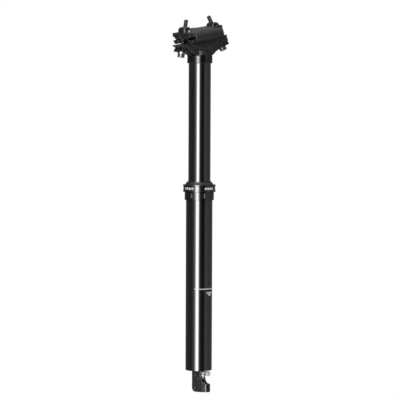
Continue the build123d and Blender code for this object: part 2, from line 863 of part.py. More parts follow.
makers = {
    "outer_tube": make_outer_tube,
    "collar_nut": make_collar_nut,
    "collar_o_ring": make_collar_o_ring,
    "wiper_seal": make_wiper_seal,
    "upper_bushing": make_upper_bushing,
    "bottom_cap": make_bottom_cap,
    "cap_o_ring": make_cap_o_ring,
    "shaft": make_shaft,
    "shaft_nut": make_shaft_nut,
    "piston": make_piston,
    "piston_ring": make_piston_ring,
    "top_out_bumper": make_top_out_bumper,
    "bottom_out_bumper": make_bottom_out_bumper,
    "actuator_body": make_actuator_body,
    "pivot_pin": make_pivot_pin,
    "wall_screws": make_wall_screws,
    "release_lever": make_release_lever,
    "cable_anchor": make_cable_anchor,
    "anchor_grub_screw": make_anchor_grub_screw,
    "valve_pin": make_valve_pin,
    "valve_spring": make_valve_spring,
    "stanchion": make_stanchion,
    "anti_rotation_keys": make_anti_rotation_keys,
    "lower_bushing": make_lower_bushing,
    "cartridge_body": make_cartridge_body,
    "cartridge_top_cap": make_cartridge_top_cap,
    "cartridge_gland": make_cartridge_gland,
    "gland_seal": make_gland_seal,
    "floating_piston": make_floating_piston,
    "floating_piston_ring": make_floating_piston_ring,
    "rail_clamp": make_rail_clamp,
    "rail_cradle": make_rail_cradle,
    "seat_head": make_seat_head,
}

for name, make in makers.items():
    save(name, make())

for name, side in (("front", 1), ("rear", -1)):
    save(name + "_bolt", make_bolt(side))
    save(name + "_flat_washer", make_flat_washer(side))
    save(name + "_pivot_washer", make_pivot_washer(side))
    save(name + "_barrel_nut", make_barrel_nut(side))
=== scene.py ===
import bpy
import bmesh
import json
import math
import numpy as np
from mathutils import Matrix, Vector


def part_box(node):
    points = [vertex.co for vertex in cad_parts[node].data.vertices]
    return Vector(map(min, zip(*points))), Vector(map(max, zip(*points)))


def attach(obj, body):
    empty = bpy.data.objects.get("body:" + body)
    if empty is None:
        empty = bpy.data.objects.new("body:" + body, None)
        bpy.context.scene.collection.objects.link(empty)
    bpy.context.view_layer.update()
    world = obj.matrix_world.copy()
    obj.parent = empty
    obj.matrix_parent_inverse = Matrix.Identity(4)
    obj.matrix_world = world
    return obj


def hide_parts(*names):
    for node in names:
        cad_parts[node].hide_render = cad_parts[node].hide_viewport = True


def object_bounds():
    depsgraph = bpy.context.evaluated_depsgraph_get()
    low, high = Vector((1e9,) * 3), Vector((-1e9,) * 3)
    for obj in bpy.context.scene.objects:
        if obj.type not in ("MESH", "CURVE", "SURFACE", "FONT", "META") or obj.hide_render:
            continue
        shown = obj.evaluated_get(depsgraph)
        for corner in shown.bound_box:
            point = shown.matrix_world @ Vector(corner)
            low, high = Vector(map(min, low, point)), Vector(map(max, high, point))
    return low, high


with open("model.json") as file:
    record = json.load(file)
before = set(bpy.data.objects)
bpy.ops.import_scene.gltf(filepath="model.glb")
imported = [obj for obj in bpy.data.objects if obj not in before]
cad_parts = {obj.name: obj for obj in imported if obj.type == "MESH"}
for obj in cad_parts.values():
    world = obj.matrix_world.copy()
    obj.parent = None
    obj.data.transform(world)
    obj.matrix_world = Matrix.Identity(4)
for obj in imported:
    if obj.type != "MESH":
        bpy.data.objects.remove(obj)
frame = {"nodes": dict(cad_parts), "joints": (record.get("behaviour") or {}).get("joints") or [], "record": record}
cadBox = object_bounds()
mm = 0.001

print("stage: frame loaded")


# Places read from the frame

def middleOf(node):
    low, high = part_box(node)
    return [(low[axis] + high[axis]) / 2 for axis in range(3)]


tubeLow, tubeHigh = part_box("outer_tube")
tubeRadius = (tubeHigh[0] - tubeLow[0]) / 2
collarLow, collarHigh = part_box("collar_nut")
collarRadius = (collarHigh[0] - collarLow[0]) / 2
joints = {joint["name"]: joint for joint in frame["joints"]}


# Camera: the photograph's long-lens view from the front left, level with the saddle clamp
cameraView = {
    "direction": 65.0,       # degrees about Z from the front of the bicycle
    "distance": 3.046,
    "height": 0.400,
    "aimHeight": 0.2032,
    "aimRight": 0.00087,
    "rollDegrees": 0.23,
    "fieldDegrees": 8.916,
    "sensorWidth": 36.0,
    "nearest": 0.05,
    "farthest": 50.0,
}


def placeCamera(view):
    turn = math.radians(view["direction"])
    towards = Vector((math.cos(turn), math.sin(turn), 0))
    right = Vector((-math.sin(turn), math.cos(turn), 0))
    eye = towards * view["distance"] + Vector((0, 0, view["height"]))
    aim = right * view["aimRight"] + Vector((0, 0, view["aimHeight"]))
    back = (eye - aim).normalized()
    side = Vector((0, 0, 1)).cross(back).normalized()
    up = back.cross(side)
    matrix = Matrix((side, up, back)).transposed()
    matrix = matrix @ Matrix.Rotation(math.radians(view["rollDegrees"]), 3, "Z")
    data = bpy.data.cameras.new("photoCamera")
    data.sensor_width = view["sensorWidth"]
    data.angle = math.radians(view["fieldDegrees"])
    data.clip_start = view["nearest"]
    data.clip_end = view["farthest"]
    camera = bpy.data.objects.new("photoCamera", data)
    bpy.context.scene.collection.objects.link(camera)
    camera.matrix_world = Matrix.Translation(eye) @ matrix.to_4x4()
    bpy.context.scene.camera = camera


placeCamera(cameraView)
print("stage: camera placed")


# Shader groups that several finishes share
effectLook = {
    "fineDetail": 3.0,
    "broadScale": 35.0,
    "broadDetail": 2.0,
    "dustScale": 1400.0,
    "dustFrom": 0.70,
    "dustTo": 0.78,
    "dustColour": (0.45, 0.45, 0.44, 1),
    "wearScale": 420.0,
    "wearWidth": 0.06,
    "wearAmount": 0.5,
    "flatPointiness": 0.5,   # what a flat place measures
    "polishBlend": 0.4 * mm,
    "polishLeast": 0.2,      # share of the roughness that polishing leaves
    "blotchLow": 0.3,        # the broad noise stays about between these two
    "blotchHigh": 0.7,
    "bumpDistance": 0.2 * mm,
}


def newGroup(name, inputs, outputs):
    group = bpy.data.node_groups.new(name, "ShaderNodeTree")
    for label, kind, value in inputs:
        socket = group.interface.new_socket(name=label, in_out="INPUT", socket_type=kind)
        socket.default_value = value
    for label, kind in outputs:
        group.interface.new_socket(name=label, in_out="OUTPUT", socket_type=kind)
    start = group.nodes.new("NodeGroupInput")
    end = group.nodes.new("NodeGroupOutput")
    return group, start, end


def addNode(tree, kind, **settings):
    node = tree.nodes.new(kind)
    for name, value in settings.items():
        setattr(node, name, value)
    return node


def makeGrainGroup():
    # fine grain: noise on object coordinates as a height, and a broad noise that varies about one half
    group, start, end = newGroup(
        "fineGrain",
        [("Scale", "NodeSocketFloat", 1500.0), ("Stretch", "NodeSocketVector", (1.0, 1.0, 1.0))],
        [("Height", "NodeSocketFloat"), ("Blotch", "NodeSocketFloat")],
    )
    place = addNode(group, "ShaderNodeTexCoord")
    stretch = addNode(group, "ShaderNodeVectorMath", operation="MULTIPLY")
    fine = addNode(group, "ShaderNodeTexNoise")
    fine.inputs["Detail"].default_value = effectLook["fineDetail"]
    broad = addNode(group, "ShaderNodeTexNoise")
    broad.inputs["Scale"].default_value = effectLook["broadScale"]
    broad.inputs["Detail"].default_value = effectLook["broadDetail"]
    link = group.links.new
    link(place.outputs["Object"], stretch.inputs[0])
    link(start.outputs["Stretch"], stretch.inputs[1])
    link(stretch.outputs[0], fine.inputs["Vector"])
    link(start.outputs["Scale"], fine.inputs["Scale"])
    link(place.outputs["Object"], broad.inputs["Vector"])
    link(fine.outputs[0], end.inputs["Height"])
    link(broad.outputs[0], end.inputs["Blotch"])
    return group


def makeDustGroup():
    # dust: sparse bright specks where a fine noise rises over a high threshold
    group, start, end = newGroup(
        "sparseDust",
        [("Scale", "NodeSocketFloat", effectLook["dustScale"]), ("Amount", "NodeSocketFloat", 0.0)],
        [("Mask", "NodeSocketFloat")],
    )
    place = addNode(group, "ShaderNodeTexCoord")
    noise = addNode(group, "ShaderNodeTexNoise")
    ramp = addNode(group, "ShaderNodeValToRGB")
    ramp.color_ramp.elements[0].position = effectLook["dustFrom"]
    ramp.color_ramp.elements[1].position = effectLook["dustTo"]
    amount = addNode(group, "ShaderNodeMath", operation="MULTIPLY")
    link = group.links.new
    link(place.outputs["Object"], noise.inputs["Vector"])
    link(start.outputs["Scale"], noise.inputs["Scale"])
    link(noise.outputs[0], ramp.inputs["Fac"])
    link(ramp.outputs["Color"], amount.inputs[0])
    link(start.outputs["Amount"], amount.inputs[1])
    link(amount.outputs[0], end.inputs["Mask"])
    return group


def makeWearGroup():
    # worn edges: where the mesh's pointiness is high, broken up by a noise
    group, start, end = newGroup(
        "edgeWear",
        [("Width", "NodeSocketFloat", effectLook["wearWidth"]),
         ("Amount", "NodeSocketFloat", effectLook["wearAmount"])],
        [("Mask", "NodeSocketFloat")],
    )
    geometry = addNode(group, "ShaderNodeNewGeometry")
    place = addNode(group, "ShaderNodeTexCoord")
    noise = addNode(group, "ShaderNodeTexNoise")
    noise.inputs["Scale"].default_value = effectLook["wearScale"]
    over = addNode(group, "ShaderNodeMath", operation="SUBTRACT")
    over.inputs[1].default_value = effectLook["flatPointiness"]
    sharp = addNode(group, "ShaderNodeMath", operation="DIVIDE", use_clamp=True)
    broken = addNode(group, "ShaderNodeMath", operation="MULTIPLY")
    amount = addNode(group, "ShaderNodeMath", operation="MULTIPLY")
    link = group.links.new
    link(geometry.outputs["Pointiness"], over.inputs[0])
    link(over.outputs[0], sharp.inputs[0])
    link(start.outputs["Width"], sharp.inputs[1])
    link(place.outputs["Object"], noise.inputs["Vector"])
    link(sharp.outputs[0], broken.inputs[0])
    link(noise.outputs[0], broken.inputs[1])
    link(broken.outputs[0], amount.inputs[0])
    link(start.outputs["Amount"], amount.inputs[1])
    link(amount.outputs[0], end.inputs["Mask"])
    return group


def makePolishGroup():
    # polished below a height: a share of the roughness, low under it and 1 above it
    group, start, end = newGroup(
        "polishedFoot",
        [("Height", "NodeSocketFloat", 0.0), ("Least", "NodeSocketFloat", effectLook["polishLeast"])],
        [("Share", "NodeSocketFloat")],
    )
    place = addNode(group, "ShaderNodeTexCoord")
    parts = addNode(group, "ShaderNodeSeparateXYZ")
    over = addNode(group, "ShaderNodeMath", operation="SUBTRACT")
    blend = addNode(group, "ShaderNodeMapRange")
    blend.inputs["From Min"].default_value = -effectLook["polishBlend"]
    blend.inputs["From Max"].default_value = effectLook["polishBlend"]
    link = group.links.new
    link(place.outputs["Object"], parts.inputs[0])
    link(parts.outputs["Z"], over.inputs[0])
    link(start.outputs["Height"], over.inputs[1])
    link(over.outputs[0], blend.inputs["Value"])
    link(start.outputs["Least"], blend.inputs["To Min"])
    link(blend.outputs["Result"], end.inputs["Share"])
    return group


grainGroup = makeGrainGroup()
polishGroup = makePolishGroup()
dustGroup = makeDustGroup()
wearGroup = makeWearGroup()


# Finishes
plainFinish = {              # what a finish has where it names nothing else
    "metal": 0.0, "spread": 0.10, "coat": 0.0, "coatRough": 0.1,
    "grain": 1500.0, "stretch": (1, 1, 1), "bump": 0.03, "dust": 0.0,
}
finishes = {
    "glossBlack": {
        "colour": (0.002, 0.002, 0.0022), "worn": (0.03, 0.03, 0.032), "rough": 0.06, "spread": 0.04,
        "coat": 1.0, "coatRough": 0.04, "grain": 1800.0, "stretch": (1, 1, 0.05), "bump": 0.006, "dust": 0.02,
    },
    "satinBlack": {
        "colour": (0.004, 0.004, 0.0045), "worn": (0.03, 0.03, 0.032), "rough": 0.10, "spread": 0.06,
        "coat": 0.7, "coatRough": 0.08, "stretch": (0.3, 0.3, 3), "bump": 0.02, "dust": 0.03,
    },
    "forgedBlack": {
        "colour": (0.005, 0.005, 0.0055), "worn": (0.22, 0.22, 0.23), "rough": 0.46, "spread": 0.08,
        "grain": 2200.0, "bump": 0.05, "dust": 0.02,
    },
    "footBlack": {
        "colour": (0.004, 0.004, 0.0045), "worn": (0.22, 0.22, 0.23), "rough": 0.24, "spread": 0.06,
        "grain": 500.0, "bump": 0.005,
    },
    "headBlack": {
        "colour": (0.005, 0.005, 0.0055), "worn": (0.22, 0.22, 0.23), "rough": 0.46, "spread": 0.08,
        "grain": 2200.0, "bump": 0.04, "dust": 0.02, "polishedBelow": 375.3 * mm,
    },
    "darkSteel": {
        "colour": (0.016, 0.016, 0.017), "worn": (0.45, 0.45, 0.45), "metal": 0.4, "rough": 0.30,
        "spread": 0.12, "grain": 1600.0, "dust": 0.03,
    },
    "nutSteel": {
        "colour": (0.11, 0.11, 0.115), "worn": (0.45, 0.45, 0.45), "metal": 1.0, "rough": 0.34,
        "spread": 0.12, "grain": 1600.0, "dust": 0.02,
    },
    "zincSteel": {
        "colour": (0.55, 0.56, 0.57), "worn": (0.8, 0.8, 0.8), "metal": 1.0, "rough": 0.25,
        "spread": 0.12, "grain": 1400.0, "dust": 0.02,
    },
    "brightAlloy": {
        "colour": (0.90, 0.90, 0.91), "worn": (0.95, 0.95, 0.95), "metal": 0.15, "rough": 0.3,
        "stretch": (1, 1, 0.2),
    },
    "rawAlloy": {
        "colour": (0.6, 0.6, 0.62), "worn": (0.8, 0.8, 0.8), "metal": 1.0, "rough": 0.3,
        "stretch": (0.2, 0.2, 3), "bump": 0.05,
    },
    "brass": {
        "colour": (0.65, 0.42, 0.16), "worn": (0.8, 0.6, 0.3), "metal": 1.0, "rough": 0.3, "bump": 0.04,
    },
    "rubber": {
        "colour": (0.012, 0.012, 0.012), "worn": (0.04, 0.04, 0.04), "rough": 0.42,
        "grain": 1200.0, "bump": 0.06, "dust": 0.06,
    },
    "bearingPlastic": {
        "colour": (0.10, 0.085, 0.06), "worn": (0.2, 0.2, 0.2), "rough": 0.45, "grain": 1200.0, "bump": 0.06,
    },
    "printWhite": {
        "colour": (0.95, 0.95, 0.95), "worn": (0.6, 0.6, 0.6), "rough": 0.35, "grain": 1200.0, "bump": 0.02,
    },
}


def makeFinish(name, look):
    look = {**plainFinish, **look}
    material = bpy.data.materials.new(name)
    material.use_nodes = True
    tree = material.node_tree
    shader = tree.nodes["Principled BSDF"]
    shader.inputs["Metallic"].default_value = look["metal"]
    shader.inputs["Coat Weight"].default_value = look["coat"]
    shader.inputs["Coat Roughness"].default_value = look["coatRough"]
    grain = addNode(tree, "ShaderNodeGroup", node_tree=grainGroup)
    grain.inputs["Scale"].default_value = look["grain"]
    grain.inputs["Stretch"].default_value = look["stretch"]
    wear = addNode(tree, "ShaderNodeGroup", node_tree=wearGroup)
    dust = addNode(tree, "ShaderNodeGroup", node_tree=dustGroup)
    dust.inputs["Amount"].default_value = look["dust"]
    colour = addNode(tree, "ShaderNodeMix", data_type="RGBA")
    colour.inputs[6].default_value = (*look["colour"], 1)
    colour.inputs[7].default_value = (*look["worn"], 1)
    dusted = addNode(tree, "ShaderNodeMix", data_type="RGBA")
    dusted.inputs[7].default_value = effectLook["dustColour"]
    rough = addNode(tree, "ShaderNodeMapRange")
    rough.inputs["From Min"].default_value = effectLook["blotchLow"]
    rough.inputs["From Max"].default_value = effectLook["blotchHigh"]
    rough.inputs["To Min"].default_value = look["rough"] - look["spread"] / 2
    rough.inputs["To Max"].default_value = look["rough"] + look["spread"] / 2
    bump = addNode(tree, "ShaderNodeBump")
    bump.inputs["Strength"].default_value = look["bump"]
    bump.inputs["Distance"].default_value = effectLook["bumpDistance"]
    link = tree.links.new
    link(wear.outputs["Mask"], colour.inputs[0])
    link(colour.outputs[2], dusted.inputs[6])
    link(dust.outputs["Mask"], dusted.inputs[0])
    link(dusted.outputs[2], shader.inputs["Base Color"])
    link(grain.outputs["Blotch"], rough.inputs["Value"])
    if "polishedBelow" in look:
        polish = addNode(tree, "ShaderNodeGroup", node_tree=polishGroup)
        polish.inputs["Height"].default_value = look["polishedBelow"]
        smoother = addNode(tree, "ShaderNodeMath", operation="MULTIPLY")
        link(rough.outputs["Result"], smoother.inputs[0])
        link(polish.outputs["Share"], smoother.inputs[1])
        link(smoother.outputs[0], shader.inputs["Roughness"])
    else:
        link(rough.outputs["Result"], shader.inputs["Roughness"])
    link(grain.outputs["Height"], bump.inputs["Height"])
    link(bump.outputs["Normal"], shader.inputs["Normal"])
    return material


materials = {name: makeFinish(name, look) for name, look in finishes.items()}

slotFinish = {
    "gloss_black": "glossBlack", "satin_black": "satinBlack", "forged_black": "forgedBlack",
    "bright_alloy": "brightAlloy", "raw_alloy": "rawAlloy", "chrome_steel": "zincSteel",
    "zinc_steel": "zincSteel", "dark_steel": "darkSteel", "brass": "brass", "rubber": "rubber",
    "bearing_plastic": "bearingPlastic",
}
nodeSlot = {part["node"]: part["material_slot"] for part in frame["record"]["subparts"]}


def dress(piece, finish):
    piece.data.materials.clear()
    piece.data.materials.append(materials[finish])


for node, piece in frame["nodes"].items():
    dress(piece, slotFinish[nodeSlot[node]])
for node in ("pivot_pin", "wall_screws"):
    dress(frame["nodes"][node], "footBlack")
print("stage: finishes on the CAD nodes")


# Rounded copies of CAD nodes: the same solids with the soft edges of a forging or a casting
roundLook = {
    "mergeDistance": 0.003 * mm,
    "relaxFactor": 0.5,
}


def rounded(node, body, grain, rounds, finish=None):
    # the node's triangles are merged, rebuilt as an even net of squares of one size, and relaxed,
    # which rounds the edges off
    work = bmesh.new()
    work.from_mesh(frame["nodes"][node].data)
    bmesh.ops.remove_doubles(work, verts=work.verts, dist=roundLook["mergeDistance"])
    data = bpy.data.meshes.new(node + "_rounded")
    work.to_mesh(data)
    work.free()
    piece = bpy.data.objects.new(node + "_rounded", data)
    bpy.context.scene.collection.objects.link(piece)
    net = piece.modifiers.new("evenNet", "REMESH")
    net.mode = "VOXEL"
    net.voxel_size = grain
    net.use_smooth_shade = True
    relax = piece.modifiers.new("relaxEdges", "SMOOTH")
    relax.factor = roundLook["relaxFactor"]
    relax.iterations = rounds
    dress(piece, finish or slotFinish[nodeSlot[node]])
    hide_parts(node)
    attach(piece, body)
    return piece


roundedNodes = {             # body, size of the net's squares, rounds of relaxing, and a finish of its own
    "seat_head": ("stanchion_assembly", 0.36 * mm, 7, "headBlack"),
    "rail_clamp": ("clamp", 0.36 * mm, 7),
    "rail_cradle": ("clamp", 0.36 * mm, 5),
    "actuator_body": ("lower_assembly", 0.22 * mm, 6, "footBlack"),
    "release_lever": ("lever", 0.16 * mm, 6),
    "front_barrel_nut": ("front_nut", 0.16 * mm, 5, "nutSteel"),
    "rear_barrel_nut": ("rear_nut", 0.16 * mm, 5, "nutSteel"),
    "front_pivot_washer": ("front_bolt_group", 0.18 * mm, 5),
    "rear_pivot_washer": ("rear_bolt_group", 0.18 * mm, 5),
}
for node, settings in roundedNodes.items():
    rounded(node, *settings)
print("stage: forgings rounded")


# Meshes worked out with numpy

def meshFromGrid(name, points, wrapRings=False, wrapSteps=True, capped=True):
    # points[i, j] is ring i and step j round it; quads join neighbours, and a fan closes each end
    rings, steps = points.shape[:2]
    ring = np.arange(rings if wrapRings else rings - 1)[:, None]
    step = np.arange(steps if wrapSteps else steps - 1)[None, :]
    nextRing = (ring + 1) % rings * steps
    nextStep = (step + 1) % steps
    ring = ring * steps
    quads = np.stack([ring + step, ring + nextStep, nextRing + nextStep, nextRing + step], axis=-1)
    flat = points.reshape(-1, 3)
    faces = quads.reshape(-1, 4).tolist()
    if capped and not wrapRings:
        first = np.arange(steps)
        second = (first + 1) % steps
        for start in (0, (rings - 1) * steps):
            middle = np.full(steps, len(flat))
            flat = np.vstack([flat, flat[start:start + steps].mean(axis=0)])
            faces += np.stack([start + second, start + first, middle], axis=-1).tolist()
    data = bpy.data.meshes.new(name)
    data.from_pydata(flat.tolist(), [], faces)
    work = bmesh.new()
    work.from_mesh(data)
    bmesh.ops.recalc_face_normals(work, faces=work.faces)
    work.to_mesh(data)
    work.free()
    piece = bpy.data.objects.new(name, data)
    bpy.context.scene.collection.objects.link(piece)
    return piece


def roundCorners(corners, steps=5):
    # each corner (radius, height, reach) becomes a curve that starts and ends at reach from it
    corners = np.array(corners, dtype=float)
    place = corners[:, :2]
    before = np.roll(place, 1, axis=0) - place
    after = np.roll(place, -1, axis=0) - place
    reach = corners[:, 2:]
    before *= reach / np.linalg.norm(before, axis=1, keepdims=True)
    after *= reach / np.linalg.norm(after, axis=1, keepdims=True)
    share = np.linspace(0, 1, steps)[None, :, None]
    curve = place[:, None] + before[:, None] * (1 - share) ** 2 + after[:, None] * share ** 2
    return curve.reshape(-1, 2)


def fillGaps(outline, gap, least=0.0001 * mm):
    # points closer than least are dropped, and points are added so that none are further apart than gap
    outline = outline[np.linalg.norm(np.roll(outline, -1, axis=0) - outline, axis=1) > least]
    lengths = np.linalg.norm(np.roll(outline, -1, axis=0) - outline, axis=1)
    travelled = np.concatenate([[0], np.cumsum(lengths)])
    counts = np.maximum(1, np.ceil(lengths / gap)).astype(int)
    stops = np.concatenate([
        start + length * np.arange(count) / count for start, length, count in zip(travelled, lengths, counts)
    ])
    ring = np.vstack([outline, outline[:1]])
    return np.stack([np.interp(stops, travelled, ring[:, axis]) for axis in (0, 1)], axis=-1)


def finishPiece(piece, finish, body, smooth=True):
    if smooth:
        piece.data.polygons.foreach_set("use_smooth", [True] * len(piece.data.polygons))
    dress(piece, finish)
    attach(piece, body)
    return piece


# Clamp bolts with their screw threads
boltLook = {
    "radius": 2.5 * mm,
    "pitch": 0.8 * mm,
    "threadDepth": 0.32 * mm,
    "plainLength": 9.0 * mm,
    "length": 40.0 * mm,
    "headRadius": 4.25 * mm,
    "headHeight": 5.0 * mm,
    "headRound": 0.5 * mm,
    "roundSteps": 6,
    "socketRadius": 2.2 * mm,
    "socketSpread": 1.08,    # the hexagon's size over the socket's radius
    "socketBevel": 0.3 * mm,
    "socketDepth": 2.6 * mm,
    "shoulder": -2.2 * mm,
    "axisGap": 0.0005 * mm,  # keeps the innermost rings open
    "grooveGain": 1.3,
    "grooveCut": 0.15,
    "tipTaper": 1.4,         # in thread depths
    "leastShare": 0.7,       # of the radius
    "stepsRound": 40,
    "headSteps": 72,
    "ringsPerPitch": 8,
    "edgeWidth": 0.12 * mm,
    "edgeSegments": 2,
    "edgeAngle": 35.0,
}


def boltAxes(side):
    # the bolt's line: from its swing joint towards the nut's slide direction
    joint = joints["front_bolt_swing" if side > 0 else "rear_bolt_swing"]
    slide = joints["front_nut_run" if side > 0 else "rear_nut_run"]
    up = np.array(slide["axis"], dtype=float)
    up /= np.linalg.norm(up)
    across = np.array([0.0, 1.0, 0.0])
    along = np.cross(across, up)
    return np.array(joint["pos_m"], dtype=float), along, across, up


def threadedShank(name, side, look):
    # a cylinder whose radius dips in a V with a flat floor and crest that climbs one pitch each turn;
    # it fades out at the plain part, and the tip tapers
    origin, along, across, up = boltAxes(side)
    threaded = look["length"] - look["plainLength"]
    rings = int(threaded / look["pitch"] * look["ringsPerPitch"])
    start = look["shoulder"] + look["plainLength"]
    end = look["shoulder"] + look["length"]
    heights = np.concatenate([[look["shoulder"]], np.linspace(start, end, rings)])
    angles = np.linspace(0, 2 * np.pi, look["stepsRound"], endpoint=False)
    height, angle = np.meshgrid(heights, angles, indexing="ij")
    phase = (height / look["pitch"] - angle / (2 * np.pi)) % 1.0
    groove = 1 - np.abs(2 * phase - 1)
    groove = np.clip(groove * look["grooveGain"] - look["grooveCut"], 0, 1)
    fade = np.clip((height - start) / look["pitch"], 0, 1)
    taper = np.clip((height - end) / look["pitch"] + 1, 0, 1) * look["threadDepth"] * look["tipTaper"]
    radius = look["radius"] - groove * fade * look["threadDepth"] - taper
    radius = np.maximum(radius, look["radius"] * look["leastShare"])
    points = (origin + height[..., None] * up
              + (radius * np.cos(angle))[..., None] * along + (radius * np.sin(angle))[..., None] * across)
    return meshFromGrid(name, points)


def boltHead(name, side, look):
    # a profile of (radius, depth) pairs turned round the bolt's line; the socket's radius follows a hexagon
    origin, along, across, up = boltAxes(side)
    base = look["shoulder"]
    foot = base - look["headHeight"]
    curve = look["headRound"]
    bevel = look["socketBevel"]
    socket = look["socketRadius"]
    floor = foot + look["socketDepth"]
    bend = np.linspace(0, np.pi / 2, look["roundSteps"])
    radii = np.concatenate([
        [look["axisGap"], look["headRadius"]],
        look["headRadius"] - curve + curve * np.cos(bend),
        [socket + bevel, socket, socket, look["axisGap"]],
    ])
    depths = np.concatenate([
        [base, base],
        foot + curve - curve * np.sin(bend),
        [foot, foot + bevel, floor, floor],
    ])
    hexagon = np.zeros(len(radii))
    hexagon[-3:-1] = 1.0     # the socket's wall alone
    angles = np.linspace(0, 2 * np.pi, look["headSteps"], endpoint=False)
    sector = (angles % (np.pi / 3)) - np.pi / 6
    sides = np.cos(np.pi / 6) / np.cos(sector) * look["socketSpread"]
    radius = radii[:, None] * (1 + hexagon[:, None] * (sides[None, :] - 1))
    points = (origin + depths[:, None, None] * up
              + (radius * np.cos(angles))[..., None] * along + (radius * np.sin(angles))[..., None] * across)
    return meshFromGrid(name, points)


for label, side in (("front", 1), ("rear", -1)):
    body = label + "_bolt_group"
    shank = threadedShank(label + "_bolt_shank", side, boltLook)
    finishPiece(shank, "darkSteel", body)
    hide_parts(label + "_bolt")
    head = boltHead(label + "_bolt_cap", side, boltLook)
    finishPiece(head, "darkSteel", body, smooth=False)
    soft = head.modifiers.new("roundEdges", "BEVEL")
    soft.width = boltLook["edgeWidth"]
    soft.segments = boltLook["edgeSegments"]
    soft.limit_method = "ANGLE"
    soft.angle_limit = math.radians(boltLook["edgeAngle"])
print("stage: clamp bolts")


# Bright dished ends in the barrel nuts' recesses
dishLook = {
    "radius": 2.8 * mm,
    "centreShare": 0.05,     # where the first ring stands, as a share of the radius
    "middleDepth": 1.35 * mm,
    "rimDepth": 0.4 * mm,
    "backDepth": 1.5 * mm,
    "rings": 10,
    "stepsRound": 48,
}


def nutDish(node, side, body):
    # the dish's depth falls with the square of the radius, and a flat back closes it
    look = dishLook
    low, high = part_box(node)
    middle = middleOf(node)
    share = np.linspace(look["centreShare"], 1, look["rings"])
    depth = look["middleDepth"] - (look["middleDepth"] - look["rimDepth"]) * share ** 2
    radius = look["radius"] * np.append(share, share[[-1, 0]])[:, None]
    depth = np.append(depth, [look["backDepth"]] * 2)[:, None]
    turn = side * np.linspace(0, 2 * np.pi, look["stepsRound"], endpoint=False)
    face = high[1] if side > 0 else low[1]
    points = np.stack([
        middle[0] + radius * np.cos(turn), face - side * depth + 0 * turn, middle[2] + radius * np.sin(turn),
    ], axis=-1)
    piece = meshFromGrid("%s_dish_%s" % (node, "left" if side > 0 else "right"), points)
    finishPiece(piece, "nutSteel", body)


for node, body in (("front_barrel_nut", "front_nut"), ("rear_barrel_nut", "rear_nut")):
    nutDish(node, 1, body)
    nutDish(node, -1, body)
print("stage: barrel nuts' ends")


# Collar and wiper, turned about the post
collarLook = {
    "boreRadius": 15.55 * mm,
    "throatRadius": 13.4 * mm,
    "sleeveRadius": 17.45 * mm,
    "lipHeight": 1.8 * mm,
    "bandRadius": 19.0 * mm,
    "flangeHeight": 8.7 * mm,
    "boreHeight": 11.65 * mm,
    "seatRadius": 15.03 * mm,
    "seatDepth": 3.4 * mm,
    "edgeReach": 0.35 * mm,
    "rootReach": 0.15 * mm,
    "innerReach": 0.1 * mm,
    "outlineGap": 0.3 * mm,
    "notches": 8,
    "notchWidth": 2.8 * mm,
    "notchDepth": 1.2 * mm,
    "notchLow": 3.0 * mm,
    "notchHigh": 8.2 * mm,
    "notchSideBlend": 0.25 * mm,
    "notchEndBlend": 0.3 * mm,
    "notchReach": 0.02 * mm,  # how far from the sleeve's radius a point is still pressed in
    "firstNotch": 82.0,      # degrees about Z, as all the angles of the marks
    "stepsRound": 420,
}


def turnedSkin(name, outline, steps, press=None):
    # a closed outline of (radius, height) points carried round Z; press gives the depth of its hollows
    angles = np.linspace(0, 2 * np.pi, steps, endpoint=False)
    radius = np.repeat(outline[:, 0][:, None], steps, axis=1)
    height = np.repeat(outline[:, 1][:, None], steps, axis=1)
    if press is not None:
        radius = radius - press(angles[None, :], radius, height)
    points = np.stack([radius * np.cos(angles), radius * np.sin(angles), height], axis=-1)
    return meshFromGrid(name, points, wrapRings=True)


def ease(value):
    # 0 below 0, 1 above 1 and a smooth S between
    value = np.clip(value, 0, 1)
    return value * value * (3 - 2 * value)


def collarSkin():
    look = collarLook
    foot = collarLow[2]
    top = collarHigh[2]
    lip = collarRadius
    bore = look["boreRadius"]
    sleeve = look["sleeveRadius"]
    band = look["bandRadius"]
    edge = look["edgeReach"]
    root = look["rootReach"]
    inner = look["innerReach"]
    low = top - look["flangeHeight"]
    seat = top - look["seatDepth"]
    step = foot + look["boreHeight"]
    corners = [
        (bore, foot, inner), (sleeve, foot, edge), (sleeve, low, root), (lip, low, edge),
        (lip, low + look["lipHeight"], edge), (band, low + look["lipHeight"], inner),
        (band, top - look["lipHeight"], inner), (lip, top - look["lipHeight"], edge),
        (lip, top, edge), (look["seatRadius"], top, edge), (look["seatRadius"], seat, inner),
        (look["throatRadius"], seat, inner), (look["throatRadius"], step, inner), (bore, step, inner),
    ]
    outline = fillGaps(roundCorners(corners), look["outlineGap"])

    def notchDepth(angle, radius, height):
        # depth where the angle is inside a notch's width and the height between its ends, on the sleeve alone
        pitch = 2 * np.pi / look["notches"]
        turn = (angle - math.radians(look["firstNotch"]) + pitch / 2) % pitch - pitch / 2
        inside = look["notchWidth"] / 2 - np.abs(turn) * sleeve
        across = ease(inside / look["notchSideBlend"] + 0.5)
        along = ease((height - foot - look["notchLow"]) / look["notchEndBlend"] + 0.5)
        along = along * ease((foot + look["notchHigh"] - height) / look["notchEndBlend"] + 0.5)
        outside = np.abs(radius - sleeve) < look["notchReach"]
        return look["notchDepth"] * across * along * outside

    piece = turnedSkin("collar_skin", outline, look["stepsRound"], notchDepth)
    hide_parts("collar_nut")
    return finishPiece(piece, "satinBlack", "lower_assembly")


collarSkin()

